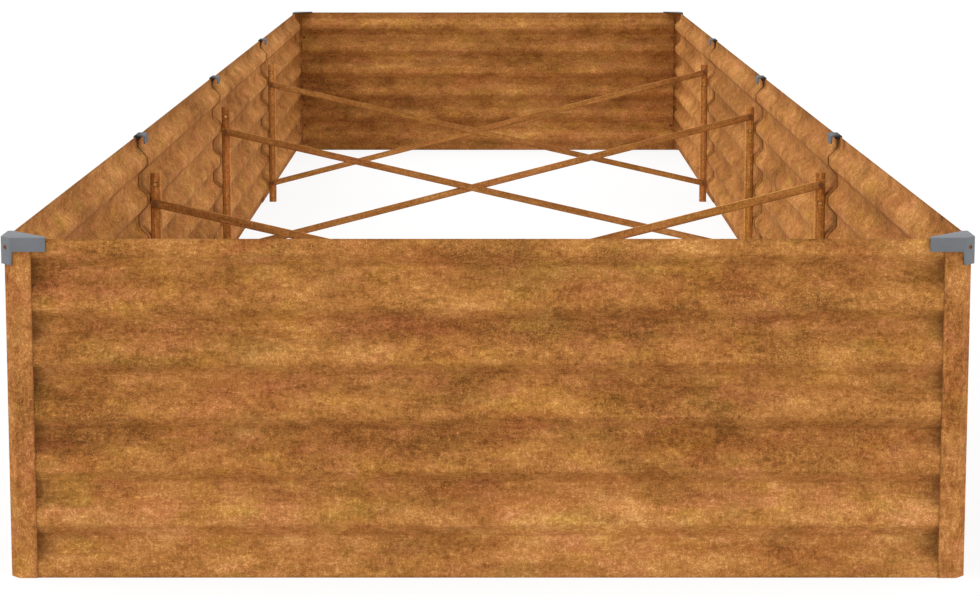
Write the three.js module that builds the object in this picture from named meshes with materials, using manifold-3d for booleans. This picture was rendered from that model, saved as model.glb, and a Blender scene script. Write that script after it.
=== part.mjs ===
// A long raised garden bed: a bottomless rectangular box of corrugated weathering-steel sheets.
//
// Folded corner posts tie the walls together, and a moulded cap covers the sheet edges at each corner.
// Each long wall is a row of sheets, lapped at the seams. At every seam a small saddle clip grips the
// rim, a slim channel stake stands against the waves inside, and two bars cross the bed to the facing
// stake, so that the soil can't push the long walls apart.
//
// Millimetres. +Z is up, +Y runs along the bed, and the origin is on the ground under its middle.
// Front is the -Y end, left is the -X side.

import * as THREE from 'three';
import { mergeVertices } from 'three/addons/utils/BufferGeometryUtils.js';
import Module from 'manifold-3d';

// ---- Driving dimensions ---------------------------------------------------------------------

const bedWidth = 1000; // over the corner posts, along X
const bedLength = 3760; // over the corner posts, along Y
const bedHeight = 359; // from the ground to the rim
const clearance = 0.3; // left between pieces that touch

// Corrugated sheets
const sheetThickness = 0.8;
const waveCount = 6; // whole waves up the wall
const lipHeight = 7.5; // from an edge of the sheet to the middle of its nearest outward crest
const waveDepth = 13.2; // sideways travel between outward and inward crests
const crestFlat = 17; // height of an outward crest, between its two bends
const flankRun = 14.5; // height that one slanted flank takes
const sheetBendRadius = 6;
const sheetsPerSide = 4;
const lapLength = 40; // overlap of two sheets at a seam
const sheetInset = 18; // from the bed's outer face to the end of a sheet

// Corner posts
const postSheet = 1.0;
const postFlange = 29;
const postChamfer = 9.5;
const postBendRadius = 2;

// Corner caps
const capWall = 3;
const capTop = 1.6;
const capLeg = 48; // along each wall, from the cap's outer corner
const capTip = 6; // width of the top plate at the end of a leg
const capSkirt = 14.7;
const capDrop = 28.5; // the skirt's depth round the post's chamfer
const capDropMargin = 2; // how far the deep skirt runs past the chamfer
const capEdgeRound = 0.8;
const capCornerRound = 4; // of the upright edges beside the chamfer

// Rim clips
const clipLength = 36;
const clipWidth = 16;
const clipWall = 1.8;
const clipTop = 2.4;
const clipSkirt = 13;
const clipRib = 7.5; // depth of the inner rib that grips the lapped sheets
const clipCornerCut = 4;
const clipEdgeRound = 3; // of the saddle's two upper edges

// Stakes
const stakeWidth = 15; // along X
const stakeDepth = 12; // along Y
const stakeHeight = 304;
const stakeSheet = 1.5;
const stakeBendRadius = 2.2;

// Bracing bars
const barWidth = 12;
const barDepth = 4;
const barSheet = 1.2;
const barBendRadius = 1.8;
const barTail = 6; // from the bolt to the bar's end
const barFootHeight = 42; // bolt above the ground at the low end of both bars
const risingBarDrop = 17; // from a stake's top to the bolt of the bar that rises to the right
const fallingBarDrop = 44; // from a stake's top to the bolt of the bar that falls to the right
const barSteps = 8;

// Bolts
const boltRadius = 2.5;
const holeSlack = 0.35;
const headRadius = 4.2; // over the corners of the hexagon
const headHeight = 3;
const nutHeight = 4;
const boltTail = 1.2;
const wallBoltWaves = [1, 3]; // counted from the ground, the inward crests that take a bolt

// ---- Sizes that follow from them ------------------------------------------------------------

const bendSteps = 2;
const roundSides = 8;
const wavePitch = (bedHeight - 2 * lipHeight) / waveCount;
const sheetOuterFace = bedWidth / 2 - postSheet - clearance;
const sheetInnerFace = sheetOuterFace - waveDepth - sheetThickness;
const flankLean = Math.atan2(waveDepth, flankRun);

// Two nested sheets need more room sideways than their thickness, because the flanks slant.
const lapOffset = (sheetThickness + clearance) / Math.cos(flankLean);

const sideRun = bedLength - 2 * sheetInset;
const sideSheetLength = (sideRun + (sheetsPerSide - 1) * lapLength) / sheetsPerSide;
const seamPitch = sideSheetLength - lapLength;
const seamCount = sheetsPerSide - 1;
const seamMiddle = (seam) => (seam - (seamCount - 1) / 2) * seamPitch;

const stakeOuterFace = sheetInnerFace - lapOffset - clearance;
const stakeMiddle = stakeOuterFace - stakeWidth / 2;
const stakeFront = -stakeDepth / 2;
const wallBoltShift = stakeSheet / 2; // middle of the stake's flange, behind its web
const barBack = stakeFront - clearance;
const barFront = barBack - barDepth;
const barEnd = stakeMiddle + barTail;

// Both bars are bolted in one plane, so each springs aside by half their depth where they cross.
const barSpring = barDepth / 2 + clearance;

const risingBarTop = stakeHeight - risingBarDrop;
const fallingBarTop = stakeHeight - fallingBarDrop;

const inwardCrestHeight = (wave) => lipHeight + (wave + 0.5) * wavePitch;

// ---- Materials ------------------------------------------------------------------------------

const rustSheet = new THREE.MeshStandardMaterial({ color: 0xa56b38, roughness: 0.85, metalness: 0.2 });
const rustPost = new THREE.MeshStandardMaterial({ color: 0xaf743c, roughness: 0.85, metalness: 0.2 });
const rustBar = new THREE.MeshStandardMaterial({ color: 0x8c5a32, roughness: 0.8, metalness: 0.2 });
const greyPlastic = new THREE.MeshStandardMaterial({ color: 0x7b7c7e, roughness: 0.5, metalness: 0 });
const boltSteel = new THREE.MeshStandardMaterial({ color: 0x6b4526, roughness: 0.6, metalness: 0.6 });

// ---- Solids, and how they are cut -----------------------------------------------------------

const wasm = await Module();
wasm.setup();

function solidOf(geometry) {
  const bare = geometry.clone();
  bare.deleteAttribute('normal');
  bare.deleteAttribute('uv');
  const merged = mergeVertices(bare);
  const vertProperties = new Float32Array(merged.attributes.position.array);
  const triVerts = new Uint32Array(merged.index.array);
  return new wasm.Manifold(new wasm.Mesh({ numProp: 3, vertProperties, triVerts }));
}

function geometryOf(solid) {
  const mesh = solid.getMesh();
  const geometry = new THREE.BufferGeometry();
  geometry.setAttribute('position', new THREE.BufferAttribute(mesh.vertProperties, 3));
  geometry.setIndex(new THREE.BufferAttribute(mesh.triVerts, 1));
  geometry.computeVertexNormals();
  return geometry;
}

function cutAway(geometry, tools) {
  return geometryOf(tools.reduce((solid, tool) => solid.subtract(solidOf(tool)), solidOf(geometry)));
}

function joined(geometries) {
  const [first, ...rest] = geometries.map(solidOf);
  return geometryOf(rest.reduce((whole, solid) => whole.add(solid), first));
}

// ---- Outlines -------------------------------------------------------------------------------

const point = (x, y) => new THREE.Vector2(x, y);
const leftOf = (direction) => point(-direction.y, direction.x);
const origin = point(0, 0);

// One rounded corner of a line: the arc's centre, its radius and the unit spokes from the centre to
// the arc. The radius gives way where the straight beside the corner is too short for it.
function roundedCorner(before, corner, after, wantedRadius) {
  const arriving = corner.clone().sub(before);
  const leaving = after.clone().sub(corner);
  const straight = Math.min(arriving.length(), leaving.length());
  arriving.normalize();
  leaving.normalize();
  const turn = Math.atan2(arriving.cross(leaving), arriving.dot(leaving));
  const side = Math.sign(turn);
  const halfTurn = Math.tan(Math.abs(turn) / 2);
  const radius = Math.min(wantedRadius, (0.45 * straight) / halfTurn);
  const start = corner.clone().addScaledVector(arriving, -radius * halfTurn);
  const inward = leftOf(arriving).multiplyScalar(side);
  const centre = start.addScaledVector(inward, radius);
  const spokes = [];
  for (let step = 0; step <= bendSteps; step++) {
    spokes.push(inward.clone().negate().rotateAround(origin, (turn * step) / bendSteps));
  }
  return { centre, radius, side, spokes };
}

// The outline of folded sheet: a strip of even thickness whose middle follows the line. Both faces
// of a bend share one centre, so the sheet keeps its thickness round it.
function foldedStrip(line, bendRadius, thickness) {
  const half = thickness / 2;
  const leftFace = [];
  const rightFace = [];
  const addEnd = (end, direction) => {
    const across = leftOf(direction.normalize());
    leftFace.push(end.clone().addScaledVector(across, half));
    rightFace.push(end.clone().addScaledVector(across, -half));
  };
  const last = line.length - 1;
  addEnd(line[0], line[1].clone().sub(line[0]));
  for (let i = 1; i < last; i++) {
    const bend = roundedCorner(line[i - 1], line[i], line[i + 1], bendRadius);
    for (const spoke of bend.spokes) {
      leftFace.push(bend.centre.clone().addScaledVector(spoke, bend.radius - bend.side * half));
      rightFace.push(bend.centre.clone().addScaledVector(spoke, bend.radius + bend.side * half));
    }
  }
  addEnd(line[last], line[last].clone().sub(line[last - 1]));
  return new THREE.Shape([...leftFace, ...rightFace.reverse()]);
}

// A closed outline whose chosen corners are rounded.
function roundedOutline(corners, radius, isRounded) {
  const outline = [];
  corners.forEach((corner, i) => {
    if (!isRounded(i)) {
      outline.push(corner);
      return;
    }
    const before = corners[(i + corners.length - 1) % corners.length];
    const after = corners[(i + 1) % corners.length];
    const bend = roundedCorner(before, corner, after, radius);
    for (const spoke of bend.spokes) {
      outline.push(bend.centre.clone().addScaledVector(spoke, bend.radius));
    }
  });
  return new THREE.Shape(outline);
}

function extrude(shape, depth, steps = 1) {
  return new THREE.ExtrudeGeometry(shape, { depth, steps, bevelEnabled: false });
}

function box(lowX, highX, lowY, highY, lowZ, highZ) {
  const geometry = new THREE.BoxGeometry(highX - lowX, highY - lowY, highZ - lowZ);
  return geometry.translate((lowX + highX) / 2, (lowY + highY) / 2, (lowZ + highZ) / 2);
}

// Cutters for bolt holes: round bars along X or along Y, long enough to pass right through a piece.
function holeCutter(length) {
  return new THREE.CylinderGeometry(boltRadius + holeSlack, boltRadius + holeSlack, length, roundSides);
}

function holeAlongX(x, y, z, length) {
  return holeCutter(length).rotateZ(Math.PI / 2).translate(x, y, z);
}

function holeAlongY(x, y, z, length) {
  return holeCutter(length).translate(x, y, z);
}

// ---- The pieces -----------------------------------------------------------------------------

// The sheet's wave seen from its end, outward crests at x = 0 on the sheet's outer face. It starts
// and ends with a lip in the plane of the outward crests, so the top and bottom edges are straight.
function waveSection() {
  const outward = -sheetThickness / 2;
  const inward = outward - waveDepth;
  const line = [point(outward, 0)];
  for (let wave = 0; wave < waveCount; wave++) {
    const crestTop = lipHeight + wave * wavePitch + crestFlat / 2;
    const nextCrestFoot = crestTop + wavePitch - crestFlat;
    line.push(point(outward, crestTop));
    line.push(point(inward, crestTop + flankRun));
    line.push(point(inward, nextCrestFoot - flankRun));
    line.push(point(outward, nextCrestFoot));
  }
  line.push(point(outward, bedHeight));
  return foldedStrip(line, sheetBendRadius, sheetThickness);
}

// A corrugated sheet that faces +X, centred on the origin along Y. Its two ends may be drawn in by
// different amounts: a sheet that laps inside its neighbour leans in by one lap offset along its length.
function corrugatedSheet(length, drawnInLowY, drawnInHighY) {
  const geometry = extrude(waveSection(), length);
  geometry.rotateX(Math.PI / 2).translate(0, length / 2, 0);
  const position = geometry.attributes.position;
  for (let i = 0; i < position.count; i++) {
    const share = position.getY(i) / length + 0.5;
    const drawnIn = THREE.MathUtils.lerp(drawnInLowY, drawnInHighY, share);
    position.setX(i, position.getX(i) - drawnIn);
  }
  return geometry;
}

function endSheet() {
  return corrugatedSheet(bedWidth - 2 * sheetInset, 0, 0);
}

// A sheet of a long wall, for the right side. towardsFront is -1 there and +1 on the left side, whose
// sheets are turned half round: it is where the front end lies along the sheet's own Y.
function sideSheet(index, towardsFront) {
  const drawnIn = index === 0 ? 0 : lapOffset;
  const frontEnd = towardsFront * (sideSheetLength / 2);
  const lowY = towardsFront < 0 ? drawnIn : 0;
  const highY = towardsFront < 0 ? 0 : drawnIn;
  const sheet = corrugatedSheet(sideSheetLength, lowY, highY);
  const holes = [];
  const addHoles = (fromFront) => {
    for (const wave of wallBoltWaves) {
      const y = frontEnd - towardsFront * (fromFront + wallBoltShift);
      holes.push(holeAlongX(-waveDepth, y, inwardCrestHeight(wave), 2 * waveDepth));
    }
  };
  if (index > 0) addHoles(lapLength / 2);
  if (index < sheetsPerSide - 1) addHoles(sideSheetLength - lapLength / 2);
  return cutAway(sheet, holes);
}

// A corner post in its own corner frame: the outer corner is at the origin, and the two flanges run
// along -X and -Y.
function cornerPost() {
  const middle = -postSheet / 2;
  const chamferEnd = -(postChamfer + (postSheet * (Math.SQRT2 - 1)) / 2);
  const line = [
    point(-postFlange, middle),
    point(chamferEnd, middle),
    point(middle, chamferEnd),
    point(middle, -postFlange),
  ];
  return extrude(foldedStrip(line, postBendRadius, postSheet), bedHeight);
}

// A moulded cap in the same corner frame: a three-cornered plate over the sheet ends, with a skirt
// down both outer faces that runs deeper round the post's chamfer.
function cornerCap() {
  const outside = capWall + clearance;
  const chamferAt = (standoff) => -postChamfer + standoff * (Math.SQRT2 - 1);
  const legEnd = outside - capLeg;
  const tipSide = outside - capTip;
  const topHeight = bedHeight + clearance + capTop;
  const corners = [
    point(legEnd, outside),
    point(legEnd, tipSide),
    point(tipSide, legEnd),
    point(outside, legEnd),
    point(outside, chamferAt(outside)),
    point(chamferAt(outside), outside),
  ];
  const block = new THREE.ExtrudeGeometry(roundedOutline(corners, capCornerRound, (i) => i > 3), {
    depth: capDrop - capEdgeRound,
    bevelThickness: capEdgeRound,
    bevelSize: capEdgeRound,
    bevelOffset: -capEdgeRound,
    bevelSegments: bendSteps,
  });
  block.translate(0, 0, topHeight - capDrop);

  const reach = capLeg + capDrop;
  const pocketCorners = [
    point(-reach, -reach),
    point(clearance, -reach),
    point(clearance, chamferAt(clearance)),
    point(chamferAt(clearance), clearance),
    point(-reach, clearance),
  ];
  const pocket = extrude(new THREE.Shape(pocketCorners), 2 * reach);
  pocket.translate(0, 0, bedHeight + clearance - 2 * reach);

  const dropEdge = chamferAt(outside) - capDropMargin;
  const skirtFoot = topHeight - capSkirt;
  const dropFoot = topHeight - capDrop;
  return cutAway(block, [
    pocket,
    box(-reach, dropEdge, -reach, reach, -reach, skirtFoot),
    box(-reach, reach, -reach, dropEdge, -reach, skirtFoot),
    box(-reach, reach, -reach, reach, -reach, dropFoot),
  ]);
}

// A saddle clip for the right rim, centred on the origin along Y. Seen from its end it is a comb of
// three legs: the outer leg and the rib grip the lapped sheets, and the inner leg covers their waves.
function rimClip() {
  const top = bedHeight + clearance + clipTop;
  const ceiling = bedHeight + clearance;
  const outside = sheetOuterFace + clearance + clipWall;
  const inside = outside - clipWidth;
  const ribOuter = sheetOuterFace - lapOffset - sheetThickness - clearance;
  const ribInner = ribOuter - clipWall;
  const corners = [
    point(outside, top),
    point(inside, top),
    point(inside, top - clipSkirt),
    point(inside + clipWall, top - clipSkirt),
    point(inside + clipWall, ceiling),
    point(ribInner, ceiling),
    point(ribInner, top - clipRib),
    point(ribOuter, top - clipRib),
    point(ribOuter, ceiling),
    point(outside - clipWall, ceiling),
    point(outside - clipWall, top - clipSkirt),
    point(outside, top - clipSkirt),
  ];
  const comb = extrude(roundedOutline(corners, clipEdgeRound, (i) => i < 2), clipLength);
  comb.rotateX(Math.PI / 2).translate(0, clipLength / 2, 0);

  const half = clipLength / 2;
  const foot = top - clipSkirt;
  const cornerCuts = [-1, 1].map((end) => {
    const triangle = new THREE.Shape([
      point(end * (half - clipCornerCut), foot - clipCornerCut),
      point(end * (half + clipCornerCut), foot - clipCornerCut),
      point(end * (half + clipCornerCut), foot + 2 * clipCornerCut),
      point(end * half, foot + clipCornerCut),
      point(end * (half - clipCornerCut), foot),
    ]);
    const wedge = extrude(triangle, 4 * clipWidth);
    return wedge.rotateX(Math.PI / 2).rotateZ(Math.PI / 2).translate(inside - 2 * clipWidth, 0, 0);
  });
  return cutAway(comb, cornerCuts);
}

// A stake for the right side, at its seam's own Y: a channel with its web towards the front and one
// flange against the inward crests. The web has a hole for each height at which a bar can be bolted.
function stake() {
  const half = stakeSheet / 2;
  const outer = stakeOuterFace - half;
  const inner = stakeOuterFace - stakeWidth + half;
  const web = stakeFront + half;
  const back = stakeFront + stakeDepth;
  const line = [point(outer, back), point(outer, web), point(inner, web), point(inner, back)];
  const channel = extrude(foldedStrip(line, stakeBendRadius, stakeSheet), stakeHeight);
  const webHoles = [barFootHeight, fallingBarTop, risingBarTop].map((height) =>
    holeAlongY(stakeMiddle, stakeFront, height, stakeDepth),
  );
  const flangeHoles = wallBoltWaves.map((wave) =>
    holeAlongX(stakeOuterFace, wallBoltShift, inwardCrestHeight(wave), stakeWidth),
  );
  return cutAway(channel, [...webHoles, ...flangeHoles]);
}

// A bracing bar between facing stakes, at its seam's own Y: a shallow channel, web towards the front,
// whose ends are cut upright beside the walls. spring is how far it bows back at mid span.
function bracingBar(leftHeight, rightHeight, spring) {
  const half = barSheet / 2;
  const side = barWidth / 2 - half;
  const web = barFront + half;
  const line = [point(side, barBack), point(side, web), point(-side, web), point(-side, barBack)];
  const section = foldedStrip(line, barBendRadius, barSheet);
  const geometry = extrude(section, 2 * barEnd, barSteps).rotateY(Math.PI / 2).translate(-barEnd, 0, 0);

  const slope = (rightHeight - leftHeight) / (2 * stakeMiddle);
  const middleHeight = (leftHeight + rightHeight) / 2;
  const stretch = Math.sqrt(1 + slope * slope); // upright height of a slanting bar, per mm of width
  const position = geometry.attributes.position;
  for (let i = 0; i < position.count; i++) {
    const x = position.getX(i);
    const bow = spring * (1 - (x / barEnd) ** 2) ** 2;
    position.setY(i, position.getY(i) + bow);
    position.setZ(i, position.getZ(i) * stretch + middleHeight + slope * x);
  }
  return cutAway(geometry, [
    holeAlongY(-stakeMiddle, barFront, leftHeight, 4 * barDepth),
    holeAlongY(stakeMiddle, barFront, rightHeight, 4 * barDepth),
  ]);
}

// A hexagon bolt with its nut on. The axis is Z, the head's underside is at z = 0, and the nut starts
// where the gripped pieces end.
function boltWithNut(grip) {
  const hexagon = (height, foot) =>
    new THREE.CylinderGeometry(headRadius, headRadius, height, 6)
      .rotateX(Math.PI / 2)
      .translate(0, 0, foot + height / 2);
  const shankLength = grip + nutHeight + boltTail;
  const shankFoot = -headHeight / 2;
  const shank = new THREE.CylinderGeometry(boltRadius, boltRadius, shankLength - shankFoot, roundSides)
    .rotateX(Math.PI / 2)
    .translate(0, 0, (shankLength + shankFoot) / 2);
  return joined([hexagon(headHeight, -headHeight), shank, hexagon(nutHeight, grip)]);
}

// The bolt through a bar and a stake's web, head to the front, at the right stake's place.
function barBolt(height) {
  const headSeat = barFront - clearance;
  const nutSeat = stakeFront + stakeSheet + clearance;
  const bolt = boltWithNut(nutSeat - headSeat);
  return bolt.rotateX(-Math.PI / 2).translate(stakeMiddle, headSeat, height);
}

// The bolt through the lapped sheets and a stake's flange, head outside the wall, at the right side.
function wallBolt(height) {
  const headSeat = sheetInnerFace + sheetThickness + clearance;
  const nutSeat = stakeOuterFace - stakeSheet - clearance;
  const bolt = boltWithNut(headSeat - nutSeat);
  return bolt.rotateY(-Math.PI / 2).translate(headSeat, wallBoltShift, height);
}

// ---- Putting the bed together ---------------------------------------------------------------

const bed = new THREE.Group();

function add(name, geometry, material, parent = bed) {
  const mesh = new THREE.Mesh(geometry, material);
  mesh.name = name;
  parent.add(mesh);
  return mesh;
}

// A mirror image across the bed's middle plane, with its faces turned the right way round again.
function mirroredAcross(geometry) {
  const bare = geometry.clone().scale(-1, 1, 1);
  const index = bare.index.array;
  for (let i = 0; i < index.length; i += 3) {
    [index[i], index[i + 1]] = [index[i + 1], index[i]];
  }
  bare.computeVertexNormals();
  return bare;
}

const quarterTurn = Math.PI / 2;
const corners = [
  { name: 'back_right', x: 1, y: 1, turns: 0 },
  { name: 'back_left', x: -1, y: 1, turns: 1 },
  { name: 'front_left', x: -1, y: -1, turns: 2 },
  { name: 'front_right', x: 1, y: -1, turns: 3 },
];
for (const corner of corners) {
  const frame = new THREE.Group();
  frame.position.set((corner.x * bedWidth) / 2, (corner.y * bedLength) / 2, 0);
  frame.rotation.z = corner.turns * quarterTurn;
  bed.add(frame);
  add(`corner_post_${corner.name}`, cornerPost(), rustPost, frame);
  add(`corner_cap_${corner.name}`, cornerCap(), greyPlastic, frame);
}

const endSheetPlace = bedLength / 2 - postSheet - clearance;
const backSheet = add('sheet_back', endSheet(), rustSheet);
backSheet.position.y = endSheetPlace;
backSheet.rotation.z = quarterTurn;
const frontSheet = add('sheet_front', endSheet(), rustSheet);
frontSheet.position.y = -endSheetPlace;
frontSheet.rotation.z = -quarterTurn;

for (let index = 0; index < sheetsPerSide; index++) {
  const middle = (index - (sheetsPerSide - 1) / 2) * seamPitch;
  const right = add(`sheet_right_${index + 1}`, sideSheet(index, -1), rustSheet);
  right.position.set(sheetOuterFace, middle, 0);
  const left = add(`sheet_left_${index + 1}`, sideSheet(index, 1), rustSheet);
  left.position.set(-sheetOuterFace, middle, 0);
  left.rotation.z = 2 * quarterTurn;
}

for (let seam = 0; seam < seamCount; seam++) {
  const number = seam + 1;
  const station = new THREE.Group();
  station.position.y = seamMiddle(seam);
  bed.add(station);

  const clipPlace = -lapLength / 2; // over the front edge of the lapped sheet
  add(`rim_clip_right_${number}`, rimClip(), greyPlastic, station).position.y = clipPlace;
  add(`rim_clip_left_${number}`, mirroredAcross(rimClip()), greyPlastic, station).position.y = clipPlace;
  add(`stake_right_${number}`, stake(), rustBar, station);
  add(`stake_left_${number}`, mirroredAcross(stake()), rustBar, station);
  add(`bar_rising_${number}`, bracingBar(barFootHeight, risingBarTop, barSpring), rustBar, station);
  add(`bar_falling_${number}`, bracingBar(fallingBarTop, barFootHeight, -barSpring), rustBar, station);

  add(`bar_bolt_right_low_${number}`, barBolt(barFootHeight), boltSteel, station);
  add(`bar_bolt_right_high_${number}`, barBolt(risingBarTop), boltSteel, station);
  add(`bar_bolt_left_low_${number}`, mirroredAcross(barBolt(barFootHeight)), boltSteel, station);
  add(`bar_bolt_left_high_${number}`, mirroredAcross(barBolt(fallingBarTop)), boltSteel, station);

  wallBoltWaves.forEach((wave, i) => {
    const level = ['low', 'high'][i];
    const bolt = wallBolt(inwardCrestHeight(wave));
    add(`wall_bolt_right_${level}_${number}`, bolt, boltSteel, station);
    add(`wall_bolt_left_${level}_${number}`, mirroredAcross(bolt), boltSteel, station);
  });
}

export default bed;
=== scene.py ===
# %% [markdown]
# # A long raised garden bed in weathering steel
#
# The bed is a bottomless box. Corrugated sheets make the walls, folded posts tie them together at the
# corners, moulded caps cover the corner edges, and crossed bars hold the long walls together inside.
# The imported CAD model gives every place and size, so it is loaded first and never moved. This script
# dresses it: finer surfaces worked out with numpy, and finishes made of shader nodes.

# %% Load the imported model
import math

import bpy
import numpy as np
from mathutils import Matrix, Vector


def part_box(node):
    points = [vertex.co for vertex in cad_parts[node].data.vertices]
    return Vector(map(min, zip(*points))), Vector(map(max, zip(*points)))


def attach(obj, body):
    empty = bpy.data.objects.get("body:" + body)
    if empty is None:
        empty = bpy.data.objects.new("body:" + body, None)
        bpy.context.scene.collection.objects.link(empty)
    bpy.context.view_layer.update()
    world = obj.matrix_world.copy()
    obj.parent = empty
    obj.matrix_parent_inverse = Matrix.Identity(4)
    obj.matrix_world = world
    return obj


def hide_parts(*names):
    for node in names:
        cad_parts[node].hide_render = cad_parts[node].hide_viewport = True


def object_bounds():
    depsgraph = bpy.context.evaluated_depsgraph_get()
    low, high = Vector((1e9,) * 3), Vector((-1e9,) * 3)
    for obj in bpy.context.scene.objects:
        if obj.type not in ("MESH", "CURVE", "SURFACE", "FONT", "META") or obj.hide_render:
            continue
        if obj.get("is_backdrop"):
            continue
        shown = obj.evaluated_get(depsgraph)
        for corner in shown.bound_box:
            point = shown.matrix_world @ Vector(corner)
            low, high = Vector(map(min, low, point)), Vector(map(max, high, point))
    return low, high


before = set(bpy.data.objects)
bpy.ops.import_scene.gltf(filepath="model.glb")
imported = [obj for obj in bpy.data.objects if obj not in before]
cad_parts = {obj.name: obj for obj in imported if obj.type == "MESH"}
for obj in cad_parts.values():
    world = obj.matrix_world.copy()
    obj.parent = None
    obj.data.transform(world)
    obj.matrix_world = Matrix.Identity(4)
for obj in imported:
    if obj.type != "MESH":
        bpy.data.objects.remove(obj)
cad_low, cad_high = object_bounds()
print("CAD box", [round(v, 4) for v in cad_low], [round(v, 4) for v in cad_high])


# %% [markdown]
# ## Sizes read from the frame
#
# The posts' outer faces give the bed's width and length, and their height is the rim. The sheets' boxes
# give how deep the waves are, and how far a lapped sheet leans in behind its neighbour. Reading them
# here, and not typing them again, keeps the dressed pieces where the solids are.

# %% Outer planes, rim height and sheet places
def extent(node):
    """Lowest and highest corner of a CAD node as two arrays, in metres."""
    low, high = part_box(node)
    return np.array(low), np.array(high)


half_width, half_length, rim_height = extent("corner_post_back_right")[1]
sheet_low, sheet_high = extent("sheet_right_1")
side_face = sheet_high[0]
end_face = extent("sheet_back")[1][1]
sheet_depth = sheet_high[0] - sheet_low[0]
lap_low, lap_high = extent("sheet_right_2")
lap_offset = (lap_high[0] - lap_low[0]) - sheet_depth
seams = [1, 2, 3]
sides = {"right": 1, "left": -1}
print(f"half width {half_width:.4f}, half length {half_length:.4f}, rim {rim_height:.4f}")
print(f"sheet depth {sheet_depth:.4f}, lap offset {lap_offset:.4f}")


# %% [markdown]
# ## Surfaces as arrays
#
# Nearly every piece here is a section carried along a path: folded steel, moulded legs, turned bolts.
# One such surface is an array of rings, ring by ring and corner by corner. Quads join neighbouring
# corners of neighbouring rings, and the first and last ring are closed with a lid, so each piece is a
# watertight shell. A face list that comes out inside out is noticed by its volume and turned round.

# %% From rings of points to a piece
def shell(rings, folded=False):
    """Vertices and faces of a closed tube through rings[station, corner, xyz].

    A quad joins corners j and j + 1 of rings i and i + 1. A lid is one many-sided face or, for folded
    sheet whose ring runs up one face and down the other, a ladder of quads across the thickness.
    """
    stations, corners = rings.shape[:2]
    index = np.arange(stations * corners).reshape(stations, corners)
    beside = np.roll(index, -1, axis=1)
    quads = np.stack([index[:-1], beside[:-1], beside[1:], index[1:]], axis=-1).reshape(-1, 4).tolist()
    if folded:
        rung = np.arange(corners // 2 - 1)
        ladder = np.stack([rung, rung + 1, corners - 2 - rung, corners - 1 - rung], axis=-1)
        lids = ladder[:, ::-1].tolist() + (ladder + index[-1, 0]).tolist()
    else:
        lids = [index[0, ::-1].tolist(), index[-1].tolist()]
    return rings.reshape(-1, 3), quads + lids


def enclosed_volume(mesh):
    """Volume inside a mesh: the sum of a . (b x c) / 6 over its triangles, negative if inside out."""
    mesh.calc_loop_triangles()
    points = np.empty(len(mesh.vertices) * 3)
    mesh.vertices.foreach_get("co", points)
    corners = np.empty(len(mesh.loop_triangles) * 3, dtype=np.int32)
    mesh.loop_triangles.foreach_get("vertices", corners)
    a, b, c = points.reshape(-1, 3)[corners].reshape(-1, 3, 3).transpose(1, 0, 2)
    return float(np.einsum("ij,ij->", a, np.cross(b, c)) / 6)


crease_angle = math.radians(32)
face_total = 0


def make_piece(name, skin, material, replaced=(), marks=None):
    """One closed piece from its skin (vertices, faces), riding on the bed's only body.

    marks are values kept at every point for the finish to read, by name.
    """
    global face_total
    vertices, faces = skin
    mesh = bpy.data.meshes.new(name)
    mesh.from_pydata(vertices.tolist(), [], faces)
    for mark, values in (marks or {}).items():
        is_vector = values.size == 3 * len(vertices)
        kept = mesh.attributes.new(mark, "FLOAT_VECTOR" if is_vector else "FLOAT", "POINT")
        kept.data.foreach_set("vector" if is_vector else "value", values.astype(np.float32).ravel())
    if enclosed_volume(mesh) < 0:
        mesh.flip_normals()
    mesh.shade_smooth()
    mesh.set_sharp_from_angle(angle=crease_angle)
    mesh.materials.append(material)
    piece = bpy.data.objects.new(name, mesh)
    bpy.context.scene.collection.objects.link(piece)
    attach(piece, "root")
    if replaced:
        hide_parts(*replaced)
    face_total += len(mesh.polygons)
    return piece


# %% [markdown]
# ## Folded sheet
#
# A press brake or a roll former bends flat sheet round a radius, and both faces of a bend share one
# centre, so the sheet keeps its thickness. A line of corners, rounded, and its normals are all that is
# needed: one face is the line moved out by half the thickness, the other is the line moved in.

# %% A line with rounded corners, and the ring of a folded strip
def rounded_line(corners, radius, steps=6):
    """Points, left-hand normals and running length of a line whose inner corners are rounded.

    Each corner becomes an arc tangent to both straights: it starts r * tan(turn / 2) before the corner,
    its centre is r to the side it turns to, and it is swept through the turn in equal steps. The radius
    gives way where a straight is too short for it.
    """
    corners = np.asarray(corners, float)
    runs = np.diff(corners, axis=0)
    lengths = np.linalg.norm(runs, axis=1)
    runs /= lengths[:, None]
    arriving, leaving = runs[:-1], runs[1:]
    turn = np.arctan2(arriving[:, 0] * leaving[:, 1] - arriving[:, 1] * leaving[:, 0],
                      np.sum(arriving * leaving, axis=1))
    reach = np.tan(np.abs(turn) / 2)
    bend = np.minimum(radius, 0.45 * np.minimum(lengths[:-1], lengths[1:]) / reach)
    side = np.sign(turn)
    left = np.stack([-arriving[:, 1], arriving[:, 0]], axis=1)
    centre = corners[1:-1] - arriving * (bend * reach)[:, None] + left * (side * bend)[:, None]
    sweep = turn[:, None] * np.linspace(0, 1, steps + 1)
    cos, sin = np.cos(sweep), np.sin(sweep)
    normal = np.stack([left[:, :1] * cos - left[:, 1:] * sin,
                       left[:, :1] * sin + left[:, 1:] * cos], axis=2)
    arc = centre[:, None] - normal * (side * bend)[:, None, None]
    ends = np.stack([[-runs[0, 1], runs[0, 0]], [-runs[-1, 1], runs[-1, 0]]])
    points = np.concatenate([corners[:1], arc.reshape(-1, 2), corners[-1:]])
    normals = np.concatenate([ends[:1], normal.reshape(-1, 2), ends[1:]])
    length = np.concatenate([[0], np.cumsum(np.linalg.norm(np.diff(points, axis=0), axis=1))])
    return points, normals, length


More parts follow.
